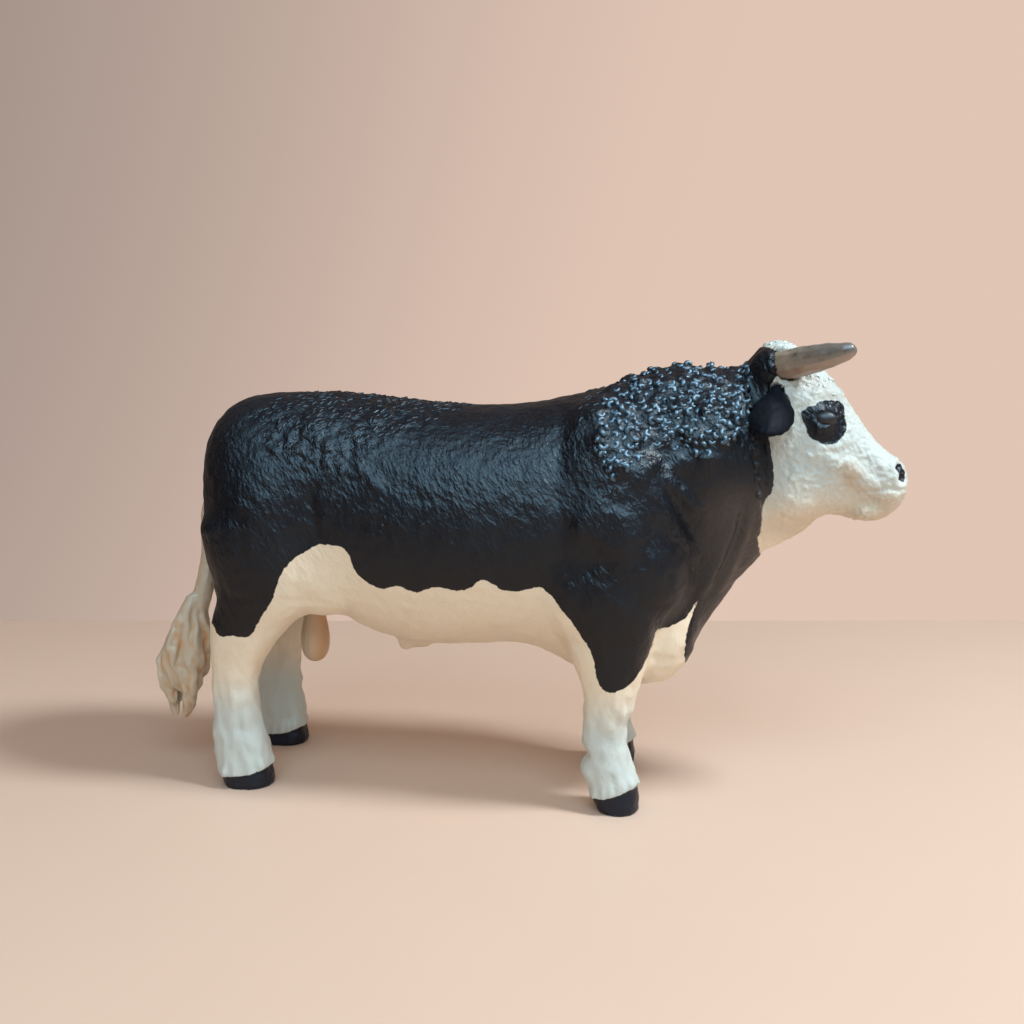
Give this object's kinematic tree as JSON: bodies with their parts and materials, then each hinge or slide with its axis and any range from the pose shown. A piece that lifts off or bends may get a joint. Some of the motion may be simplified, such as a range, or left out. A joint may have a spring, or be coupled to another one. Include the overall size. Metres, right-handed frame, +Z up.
{
  "type": "toy farm animal figure",
  "caption": "Solid plastic toy bull standing on its hooves: trunk, head, legs, horns, ears and tail as separately moulded pieces.",
  "frame": {"origin": "on the floor, under the middle of the figure's bounding box", "axes": "+X the way the bull faces, +Y its left side, +Z up"},
  "size_m": [0.1408, 0.0418, 0.0831],
  "materials": {
    "black_plastic": "satin black paint over solid PVC",
    "white_plastic": "unpainted creamy white PVC, satin",
    "horn_plastic": "grey-brown painted PVC, satin",
    "tail_plastic": "cream PVC with a tan wash, satin"
  },
  "bodies": {
    "root": {"torso": "black_plastic", "head": "white_plastic", "foreleg_left": "white_plastic", "foreleg_right": "white_plastic", "hindleg_left": "white_plastic", "hindleg_right": "white_plastic", "horn_left": "horn_plastic", "horn_right": "horn_plastic", "ear_left": "black_plastic", "ear_right": "black_plastic", "tail": "tail_plastic", "scrotum": "tail_plastic"}
  },
  "joints": []
}
